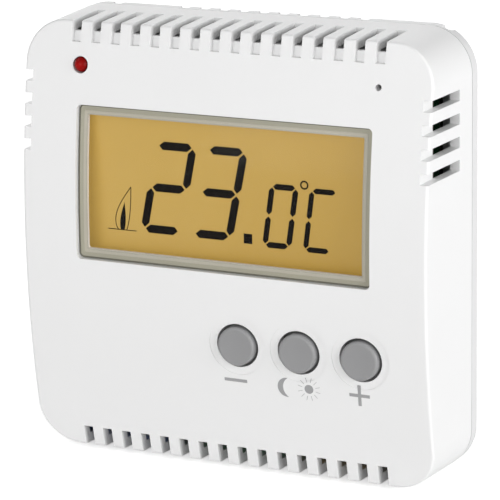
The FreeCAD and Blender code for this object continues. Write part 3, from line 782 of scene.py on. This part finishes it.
# ---------------------------------------------------------------- front details
class THERMOSTAT_OT_signs(bpy.types.Operator):
    """Print the minus, moon, sun and plus signs under the buttons"""
    bl_idname = "thermostat.signs"
    bl_label = "Print the signs"

    def execute(self, context):
        settings = context.scene.thermostat_case
        lift = settings.print_depth
        row = middle("mode_button").z - 7.0 * MM
        minus_x = middle("minus_button").x - 0.8 * MM
        plus_x = middle("plus_button").x - 0.55 * MM
        moon_x = middle("mode_button").x - 2.9 * MM
        sun_x = middle("mode_button").x + 1.75 * MM
        strips = [bar(minus_x, row, 4.7 * MM, 0.62 * MM, 0.0),
                  bar(plus_x, row, 4.1 * MM, 0.64 * MM, 0.0),
                  bar(plus_x, row, 4.1 * MM, 0.64 * MM, math.pi / 2)]
        outer = arc(moon_x + 0.15 * MM, row - 0.16 * MM, 1.92 * MM, math.radians(82.7), math.radians(277.3))
        inner = arc(moon_x + 1.56 * MM, row - 0.16 * MM, 2.23 * MM, math.radians(121.7), math.radians(238.3))
        strips.append((outer, inner))
        for i in range(12):
            angle = CIRCLE * (i + 0.5) / 12
            spot = (sun_x + 1.85 * MM * math.cos(angle), row + 1.85 * MM * math.sin(angle))
            strips.append(bar(*spot, 0.95 * MM, 0.075 * MM, angle))
        edge = arc(sun_x, row, 0.89 * MM, 0, math.pi, 21)
        strips.append((edge, edge * [1, -1] + [0, 2 * row]))

        def ink_front(z):
            return bow_y(z) - lift

        def ink_back(z):
            return bow_y(z) + lift

        parts = [ribbon(left, right, ink_front, ink_back) for left, right in strips]
        ink = plastic("sign_ink", settings.print_colour, 0.5, unevenness=0.05)
        place("printed_signs", combined(parts), "front_unit", ink)
        return {"FINISHED"}


class THERMOSTAT_OT_buttons(bpy.types.Operator):
    """Make the three caps with a soft rim and a slightly hollow face"""
    bl_idname = "thermostat.buttons"
    bl_label = "Make the buttons"

    def execute(self, context):
        settings = context.scene.thermostat_button
        cap = plastic("cap_grey", settings.cap_colour, 0.38, grain=6000.0, bump=0.06)
        radius, flange, flange_thick, stem = 3.74 * MM, 5.0 * MM, 0.8 * MM, 1.6 * MM
        for name in ("minus_button", "mode_button", "plus_button"):
            low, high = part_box(name)
            centre = (low + high) / 2
            front = low.y + settings.crown_drop
            flange_back = high.y - 0.42 * MM
            flange_front = flange_back - flange_thick
            drawn_in, forward = quarter_round(settings.rim_round, 9)
            rim = [(radius - a, front + settings.rim_round - b) for a, b in zip(drawn_in, forward)]
            share = np.linspace(1, 0.02, 12)
            face_radius = radius - settings.rim_round
            face = [(face_radius * s, front + settings.face_dish * (1 - s * s)) for s in share[1:]]
            profile = [(0.02 * stem, high.y), (stem, high.y), (stem, flange_back), (flange, flange_back),
                       (flange, flange_front), (radius, flange_front)] + rim + face
            shape = turned(profile, centre.x, centre.z, 72)
            piece = place(name + "_cap", shape, name, cap, True, [name])
            smooth_by_angle(piece)
        return {"FINISHED"}


class THERMOSTAT_OT_indicator(bpy.types.Operator):
    """Finish the red indicator lamp, with painted highlight and shade in its lens colour, its leads and its
    sleeve
    """
    bl_idname = "thermostat.indicator"
    bl_label = "Finish the indicator"

    def execute(self, context):
        low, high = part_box("indicator_led")
        centre = (low + high) / 2
        radius = 1.5 * MM
        tip = low.y
        shoulder = tip + radius
        seat = front_of("led_spacer")
        flange_front = seat - 1.0 * MM
        angle = np.linspace(0, math.pi / 2 * 0.99, 14)
        dome = [(radius * math.cos(a), shoulder - radius * math.sin(a)) for a in angle]
        flange = 1.9 * MM
        profile = [(0.05 * MM, seat), (flange, seat), (flange, flange_front), (radius, flange_front)] + dome
        red, shader = start_material("red_lens", Base_Color=(0.36, 0.002, 0.002, 1), Roughness=0.4,
                                     Specular_IOR_Level=0.12)
        tree = red.node_tree
        spot = add(tree, "TexCoord")
        centred = add(tree, "Mapping")
        centred.vector_type = "TEXTURE"
        centred.inputs["Location"].default_value = (centre.x - 0.35 * MM, tip, centre.z)
        centred.inputs["Scale"].default_value = (2.2 * MM, 8 * MM, 2.2 * MM)
        # Painted light in the lens colour: a brighter spot left of the middle is painted highlight, fading
        # to painted shade towards the rim.
        glow_and_painted_highlight = add(tree, "TexGradient")
        glow_and_painted_highlight.gradient_type = "SPHERICAL"
        # A is the darker red of the painted shade at the rim, B the lighter red of the painted highlight.
        mix = colour_mix(tree)
        mix.inputs["A"].default_value = (0.10, 0.0006, 0.0005, 1)
        mix.inputs["B"].default_value = (0.40, 0.0015, 0.001, 1)
        wire(spot, "Object", centred, "Vector")
        wire(centred, "Vector", glow_and_painted_highlight, "Vector")
        wire(glow_and_painted_highlight, "Fac", mix, "Factor")
        wire(mix, "Result", shader, "Base Color")
        parts = [turned(profile, centre.x, centre.z, 48)]
        lens = place("indicator_lens", combined(parts), "front_unit", red, True,
                     ["indicator_led"])
        smooth_by_angle(lens)
        leads = [turned([(0.02 * MM, high.y), (0.25 * MM, high.y), (0.25 * MM, seat), (0.02 * MM, seat)],
                        centre.x + side * 1.27 * MM, centre.z, 12) for side in (-1, 1)]
        place("indicator_leads", combined(leads), "front_unit",
              metal("tinned_lead", (0.62, 0.61, 0.58), 0.35), True)
        finish_node("led_spacer", plastic("spacer_black", (0.02, 0.02, 0.02), 0.5))
        return {"FINISHED"}


# ---------------------------------------------------------------- inside
def screw_head(x, z, y, radius, rise, towards):
    """Pan head as a polar grid: a domed height that falls away near the rim, less a cross-shaped hollow of
    smooth depth about the middle. towards is the way the head faces along Y."""
    share = np.linspace(1, 0.02, 20)[:, None]
    angle = (np.arange(64) / 64 * CIRCLE)[None, :]
    across, up = radius * share * np.cos(angle), radius * share * np.sin(angle)
    height = rise * (1 - 0.75 * np.clip(share, 0, 1) ** 5)
    arm, reach = 0.19 * radius, 0.62 * radius

    def inside(narrow, long):
        return np.clip((arm - np.abs(narrow)) / (0.35 * arm), 0, 1) * np.clip(
            (reach - np.abs(long)) / (0.15 * reach), 0, 1)

    height = height - 0.6 * rise * np.maximum(inside(across, up), inside(up, across))
    top = np.stack([x + across, y + towards * height, z + up], -1)
    foot = top[:1].copy()
    foot[..., 1] = y
    return loft(np.concatenate([foot, top]))


def place_screws(name, node, body, towards, material):
    """Detailed heads and shanks for one board's screws."""
    low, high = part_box(node)
    radius = 2.0 * MM
    head, shank = 1.2 * MM, 0.95 * MM
    face = low.y + head if towards < 0 else high.y - head
    end = high.y if towards < 0 else low.y
    xs = (low.x + radius, high.x - radius)
    zs = (low.z + radius, high.z - radius)
    parts = []
    for x in xs:
        for z in zs:
            parts.append(screw_head(x, z, face, radius, head, towards))
            ridges = np.linspace(face, end, 26)
            thread = [(shank * (1.0 if i % 2 else 0.82), y) for i, y in enumerate(ridges)]
            parts.append(turned([(0.02 * MM, face)] + thread + [(0.02 * MM, end)], x, z, 20))
    piece = place(name, combined(parts), body, material, True, [node])
    smooth_by_angle(piece, 38.0)


def place_block(node, body, material, edge, towards=-1):
    """Rounded body that stands for a box-shaped node."""
    low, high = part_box(node)
    piece = place(node + "_body", soft_block(low, high, edge * MM, towards), body, material, True,
                  [node])
    smooth_by_angle(piece, 40.0)


def chip_leads(node, pitch, sides, towards):
    """Bent leads along the sides of a chip: a strip that leaves at mid height, drops and runs out flat."""
    low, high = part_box(node)
    centre = (low + high) / 2
    board = high.y if towards < 0 else low.y
    mid = (low.y + high.y) / 2
    parts = []
    for side_x, side_z in sides:
        if side_x:
            start, span, other = (high.x if side_x > 0 else low.x), high.z - low.z, centre.z
        else:
            start, span, other = (high.z if side_z > 0 else low.z), high.x - low.x, centre.x
        side = side_x or side_z
        count = int((span - pitch * MM) / (pitch * MM)) + 1
        for i in range(count):
            place_along = other + (i - (count - 1) / 2) * pitch * MM
            out = start + side * np.array([0, 0.3, 0.45, 0.85]) * MM
            depth = np.array([mid, mid, board, board]) + towards * 0.08 * MM
            half, thick = 0.3 * pitch * MM, 0.07 * MM
            stations = []
            for along, y in zip(out, depth):
                corners = [(-half, -thick), (half, -thick), (half, thick), (-half, thick)]
                loop = [(along, y + b, place_along + a) if side_x else (place_along + a, y + b, along)
                        for a, b in corners]
                stations.append(loop)
            parts.append(loft(stations))
    return parts


def small_parts(rows, board, towards, seed):
    """Surface resistors and capacitors: a dark or tan body and two bright ends, in rows given by centre,
    count and step. Returns the bodies and the ends."""
    random = np.random.default_rng(seed)
    bodies, ends = [], []
    for x, z, count, step_x, step_z in rows:
        for i in range(count):
            cx, cz = x + i * step_x, z + i * step_z
            upright = random.random() < 0.4
            long, short, tall = (0.5, 1.0, 0.45) if upright else (1.0, 0.5, 0.45)
            for spots, half_x, half_z, height in (
                    (bodies, long, short, tall),
                    (ends, long + (0 if upright else 0.15), short + (0.15 if upright else 0), tall - 0.06)):
                low = Vector(((cx - half_x) * MM, 0, (cz - half_z) * MM))
                high = Vector(((cx + half_x) * MM, 0, (cz + half_z) * MM))
                low.y, high.y = sorted((board, board + towards * height * MM))
                spots.append(soft_block(low, high, 0.08 * MM, towards))
    return bodies, ends


def solder_joints(spots, board, towards, radius=0.75):
    """Solder cones: a concave flank from a round foot up to a blunt tip."""
    share = np.linspace(0, 1, 7)
    parts = []
    for x, z in spots:
        profile = [(radius * MM * (1 - 0.78 * s ** 0.6), board + towards * 0.8 * radius * MM * s)
                   for s in share]
        parts.append(turned([(0.02 * MM, board)] + profile + [(0.02 * MM, profile[-1][1])],
                            x * MM, z * MM, 16))
    return parts


def board_outline(node, board, towards, margin=0.6):
    """Printed outline round a component."""
    low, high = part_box(node)
    half_x, half_z = (high.x - low.x) / 2 + margin * MM, (high.z - low.z) / 2 + margin * MM
    path = rounded_loop(half_x, half_z, 0.4 * MM, (low.x + high.x) / 2, (low.z + high.z) / 2, 4)
    face = board + towards * 0.03 * MM
    return ribbon(*stroke(path, 0.18 * MM, closed=True), lambda z: face, lambda z: board, closed=True)


class THERMOSTAT_OT_boards(bpy.types.Operator):
    """Finish both circuit boards and add their screws, solder, small parts and printed outlines"""
    bl_idname = "thermostat.boards"
    bl_label = "Finish the boards"

    def execute(self, context):
        finish_node("power_board", laminate("power_laminate", (0.008, 0.055, 0.024), (0.02, 0.11, 0.045)))
        finish_node("main_board", laminate("main_laminate", (0.006, 0.045, 0.024), (0.015, 0.09, 0.045)))
        zinc = metal("zinc_plate", (0.63, 0.63, 0.64), 0.3)
        place_screws("power_board_screw_heads", "power_board_screws", "base", -1, zinc)
        place_screws("main_board_screw_heads", "main_board_screws", "front_unit", 1, zinc)
        tin = metal("solder_tin", (0.68, 0.67, 0.65), 0.22, stains=0.15)
        chip = plastic("chip_resist", (0.03, 0.028, 0.027), 0.5)
        ink = plastic("outline_ink", (0.75, 0.75, 0.72), 0.6)

        power_front = front_of("power_board")
        rows = [(-32, 22, 5, 0, -2.6), (-9, 29, 5, 2.6, 0), (9, 12, 7, 2.4, 0), (-30, -24, 6, 2.6, 0),
                (17, -14, 5, 2.6, 0), (-12, 12, 6, 2.4, 0), (28, 12, 4, 0, 2.6), (26, -28, 3, 2.4, 0)]
        bodies, ends = small_parts(rows, power_front, -1, 4)
        place("power_small_parts", combined(bodies), "base", chip, True)
        place("power_small_ends", combined(ends), "base", tin, True)
        spots = [(x, z) for z in (-7.5, 4.0, 8.0) for x in (-20, -16.5, -6, 0, 5.5, 13, 19)]
        joints = combined(solder_joints(spots, power_front, -1))
        place("power_solder", joints, "base", tin, True)
        outlines = [board_outline(node, power_front, -1) for node in
                    ("relay", "supply_capacitor", "filter_capacitor", "varistor", "rectifier",
                     "voltage_regulator", "fuse", "terminal_block", "pin_header")]
        place("power_board_print", combined(outlines), "base", ink)
        power_back = back_of("power_board")
        tails = [(x, z) for z in (-36.5, -30.0) for x in (-33, -28, -20, -16.5, 15, 26)]
        tails += [((i - 3.5) * 2.54, 33.0) for i in range(8)]
        place("power_tails", combined(solder_joints(tails, power_back, 1, 0.9)), "base", tin,
              True)

        main_back = back_of("main_board")
        rows = [(-22, 6, 6, 0, -2.6), (-14, 9, 8, 2.6, 0), (24, 8, 6, 0, -2.6), (-14, -12, 10, 2.8, 0),
                (-30, 20, 5, 2.6, 0), (12, 22, 6, 2.6, 0)]
        bodies, ends = small_parts(rows, main_back, 1, 7)
        place("main_small_parts", combined(bodies), "front_unit", chip, True)
        place("main_small_ends", combined(ends), "front_unit", tin, True)
        spots = [((i - 3.5) * 2.54, 33.0 + side * 2.3) for i in range(8) for side in (-1, 1)]
        for name in ("minus_switch", "mode_switch", "plus_switch"):
            centre = middle(name) / MM
            spots += [(centre.x + a * 3.2, centre.z + b * 2.2) for a in (-1, 1) for b in (-1, 1)]
        place("main_solder", combined(solder_joints(spots, main_back, 1, 0.6)), "front_unit",
              tin, True)
        outlines = [board_outline(node, main_back, 1, 1.2) for node in
                    ("microcontroller", "crystal", "memory_chip")]
        place("main_board_print", combined(outlines), "front_unit", ink)
        leads = chip_leads("microcontroller", 0.8, ((1, 0), (-1, 0), (0, 1), (0, -1)), 1)
        leads += chip_leads("memory_chip", 1.27, ((0, 1), (0, -1)), 1)
        place("main_chip_leads", combined(leads), "front_unit", tin)
        leads = chip_leads("rectifier", 2.4, ((1, 0), (-1, 0)), -1)
        leads += chip_leads("voltage_regulator", 1.5, ((0, -1),), -1)
        place("power_chip_leads", combined(leads), "base", tin)
        return {"FINISHED"}


class THERMOSTAT_OT_components(bpy.types.Operator):
    """Finish the parts on the boards and behind the display"""
    bl_idname = "thermostat.components"
    bl_label = "Finish the components"

    def execute(self, context):
        epoxy = plastic("chip_epoxy", (0.02, 0.02, 0.021), 0.45, grain=8000.0, bump=0.2)
        for node in ("microcontroller", "memory_chip"):
            place_block(node, "front_unit", epoxy, 0.15, 1)
        for node in ("rectifier", "voltage_regulator"):
            place_block(node, "base", epoxy, 0.15)
        can = metal("drawn_can", (0.72, 0.72, 0.71), 0.25)
        place_block("crystal", "front_unit", can, 0.9, 1)
        place_block("relay", "base", plastic("relay_blue", (0.02, 0.09, 0.33), 0.35), 0.45)
        place_block("supply_capacitor", "base",
                    plastic("film_yellow", (0.62, 0.40, 0.06), 0.4), 0.5)

        low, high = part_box("varistor")
        centre = (low + high) / 2
        radius, thick = (high.x - low.x) / 2, high.y - low.y
        drawn_in, forward = quarter_round(0.9 * MM, 8)
        rim = [(radius - a, low.y + 0.9 * MM - b) for a, b in zip(drawn_in, forward)]
        profile = [(0.02 * MM, high.y), (radius * 0.9, high.y), (radius, high.y - 0.25 * thick)] + rim
        profile += [(0.02 * MM, low.y)]
        piece = place("varistor_disc", turned(profile, centre.x, centre.z), "base",
                      plastic("varistor_blue", (0.02, 0.12, 0.36), 0.22, grain=900.0, bump=0.3), True,
                      ["varistor"])
        smooth_by_angle(piece)

        low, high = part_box("filter_capacitor")
        stripe = two_part("can_sleeve", (0.66, 0.66, 0.66), 0.3, (1, 0, 0), (high.x - 1.6 * MM, high.x + MM),
                          (0.015, 0.015, 0.02), 0.45, 0.0)
        finish_node("filter_capacitor", stripe)
        fuse_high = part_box("fuse")[1]
        finish_node("fuse", two_part("fuse_lacquer", (0.16, 0.30, 0.20), 0.25, (1, 0, 0),
                                     (fuse_high.x - 2.0 * MM, fuse_high.x + MM), (0.6, 0.6, 0.58), 0.3))
        low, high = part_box("pin_header")
        finish_node("pin_header", two_part("header_black", (0.02, 0.02, 0.022), 0.45, (0, 1, 0),
                                           (low.y - MM, front_of("power_board") - 2.52 * MM),
                                           (0.78, 0.58, 0.24), 0.25))
        finish_node("board_socket", plastic("socket_black", (0.02, 0.02, 0.022), 0.45))
        low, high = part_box("thermistor")
        finish_node("thermistor", two_part("bead_black", (0.025, 0.025, 0.03), 0.25, (0, 0, 1),
                                           (low.z + 2.75 * MM, high.z + MM), (0.62, 0.61, 0.58), 0.35))
        for name in ("minus_switch", "mode_switch", "plus_switch", "reset_switch"):
            low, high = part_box(name)
            finish_node(name, two_part(name + "_can", (0.025, 0.025, 0.025), 0.5, (0, 1, 0),
                                       (low.y - MM, low.y + 0.35 * MM), (0.6, 0.6, 0.6), 0.3))
        plunger = plastic("plunger_black", (0.02, 0.02, 0.02), 0.45)
        for name in ("minus_plunger", "mode_plunger", "plus_plunger", "reset_plunger"):
            finish_node(name, plunger)
        finish_node("lcd_holder", plastic("holder_grey", (0.42, 0.42, 0.40), 0.5))
        finish_node("light_guide", plastic("guide_amber", (0.75, 0.45, 0.12), 0.15, unevenness=0.02,
                                           Transmission_Weight=0.4))
        finish_node("backlight_lamps", plastic("lamp_yellow", (0.8, 0.62, 0.16), 0.3))
        stripes = plastic("strip_rubber", (0.12, 0.12, 0.13), 0.6)
        tree = stripes.node_tree
        shader = tree.nodes["Principled BSDF"]
        coordinate = add(tree, "TexCoord")
        wave = add(tree, "TexWave")
        wave.inputs["Scale"].default_value = 800.0
        mix = colour_mix(tree)
        mix.inputs["A"].default_value = (0.45, 0.20, 0.22, 1)
        mix.inputs["B"].default_value = (0.03, 0.03, 0.03, 1)
        wire(coordinate, "Object", wave, "Vector")
        wire(wave, "Fac", mix, "Factor")
        wire(mix, "Result", shader, "Base Color")
        finish_node("contact_strips", stripes)
        return {"FINISHED"}


class THERMOSTAT_OT_terminals(bpy.types.Operator):
    """Finish the terminal block, its contacts, clamps and screws"""
    bl_idname = "thermostat.terminals"
    bl_label = "Finish the terminals"

    def execute(self, context):
        finish_node("terminal_block", plastic("terminal_green", (0.035, 0.22, 0.07), 0.42))
        finish_node("terminal_contacts", metal("tinned_brass", (0.66, 0.58, 0.36), 0.3))
        steel = metal("clamp_plate", (0.56, 0.55, 0.52), 0.35)
        bright = metal("terminal_zinc", (0.66, 0.66, 0.67), 0.25)
        for number in range(1, 5):
            finish_node("terminal_clamp_%d" % number, steel)
            finish_node("terminal_screw_%d" % number, bright)
        return {"FINISHED"}


# ---------------------------------------------------------------- stage
def area_lamp(name, place_at, aim, size, power):
    """Soft square lamp that looks at a point."""
    lamp = bpy.data.lights.new(name, "AREA")
    lamp.size = size
    lamp.energy = power
    piece = bpy.data.objects.new(name, lamp)
    piece.location = place_at
    piece.rotation_euler = (Vector(aim) - Vector(place_at)).to_track_quat("-Z", "Y").to_euler()
    bpy.context.scene.collection.objects.link(piece)


class THERMOSTAT_OT_stage(bpy.types.Operator):
    """Make the floor, the background, the lamps and the camera"""
    bl_idname = "thermostat.stage"
    bl_label = "Set the stage"

    def execute(self, context):
        settings = context.scene.thermostat_stage
        scene = context.scene
        floor_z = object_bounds()[0][2]
        corners = np.array([(-3, -3), (3, -3), (3, 3), (-3, 3)], float)
        floor = new_piece("floor", np.insert(corners, 2, floor_z, axis=1), [[0, 1, 2, 3]], False)
        white, shader = start_material("floor_white", Base_Color=(0.95, 0.95, 0.95, 1), Roughness=0.9,
                                       Specular_IOR_Level=0.0, Emission_Color=(1, 1, 1, 1))
        tree = white.node_tree
        ray = add(tree, "LightPath")
        seen = maths(tree, "MULTIPLY", 0.52)
        wire(ray, "Is Camera Ray", seen, 0)
        wire(seen, 0, shader, "Emission Strength")
        floor.data.materials.append(white)
        floor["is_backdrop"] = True

        world = bpy.data.worlds.new("studio")
        scene.world = world
        world.use_nodes = True
        tree = world.node_tree
        background = tree.nodes["Background"]
        ray = add(tree, "LightPath")
        either = maths(tree, "MAXIMUM")
        strength = add(tree, "Mix")
        strength.inputs["A"].default_value = settings.ambient
        strength.inputs["B"].default_value = 1.0
        wire(ray, "Is Camera Ray", either, 0)
        wire(ray, "Is Transmission Ray", either, 1)
        wire(either, 0, strength, "Factor")
        wire(strength, "Result", background, "Strength")
        background.inputs["Color"].default_value = (1, 1, 1, 1)

        area_lamp("side_lamp", (0.97, -0.25, 0.10), (0, 0, 0), 0.7, settings.side_power)
        area_lamp("front_lamp", (-0.1, -1.05, 0.12), (0, 0, 0), 0.8, settings.front_power)
        area_lamp("rear_lamp", (-0.45, 0.95, 0.35), (0, 0, 0), 0.7, settings.rear_power)

        back = Vector((math.sin(settings.turn) * math.cos(settings.rise),
                       -math.cos(settings.turn) * math.cos(settings.rise), math.sin(settings.rise)))
        right = Vector((math.cos(settings.turn), math.sin(settings.turn), 0))
        up = back.cross(right)
        across = math.cos(settings.tilt) * right + math.sin(settings.tilt) * up
        upward = math.cos(settings.tilt) * up - math.sin(settings.tilt) * right
        camera = bpy.data.objects.new("camera", bpy.data.cameras.new("camera"))
        camera.data.lens = settings.lens
        camera.data.sensor_width = 36.0
        camera.data.clip_end = 20.0
        turn = Matrix((across, upward, back)).transposed().to_4x4()
        camera.matrix_world = Matrix.Translation(Vector(settings.eye)) @ turn
        scene.collection.objects.link(camera)
        scene.camera = camera
        scene.view_settings.view_transform = "Standard"
        return {"FINISHED"}


# ---------------------------------------------------------------- panel
STEPS = ("case", "window", "display", "signs", "buttons", "indicator", "boards", "components", "terminals",
         "stage")


class THERMOSTAT_PT_panel(bpy.types.Panel):
    """Lists the pieces of the thermostat and their settings"""
    bl_idname = "THERMOSTAT_PT_panel"
    bl_label = "Wall Thermostat"
    bl_space_type = "VIEW_3D"
    bl_region_type = "UI"
    bl_category = "Thermostat"

    def draw(self, context):
        for group in ("case", "button", "display", "stage"):
            settings = getattr(context.scene, "thermostat_" + group)
            box = self.layout.box()
            for key in settings.__annotations__:
                box.prop(settings, key)
        for step in STEPS:
            self.layout.operator("thermostat." + step)


CLASSES = (CaseSettings, ButtonSettings, DisplaySettings, StageSettings, THERMOSTAT_OT_case,
           THERMOSTAT_OT_window, THERMOSTAT_OT_display, THERMOSTAT_OT_signs, THERMOSTAT_OT_buttons,
           THERMOSTAT_OT_indicator, THERMOSTAT_OT_boards, THERMOSTAT_OT_components,
           THERMOSTAT_OT_terminals, THERMOSTAT_OT_stage, THERMOSTAT_PT_panel)
GROUPS = {"case": CaseSettings, "button": ButtonSettings, "display": DisplaySettings, "stage": StageSettings}


def register():
    for item in CLASSES:
        bpy.utils.register_class(item)
    for name, group in GROUPS.items():
        setattr(bpy.types.Scene, "thermostat_" + name, PointerProperty(type=group))


def unregister():
    for name in GROUPS:
        delattr(bpy.types.Scene, "thermostat_" + name)
    for item in reversed(CLASSES):
        bpy.utils.unregister_class(item)


def main():
    """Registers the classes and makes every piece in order."""
    register()
    for step in STEPS:
        getattr(bpy.ops.thermostat, step)()


if __name__ == "__main__":
    main()
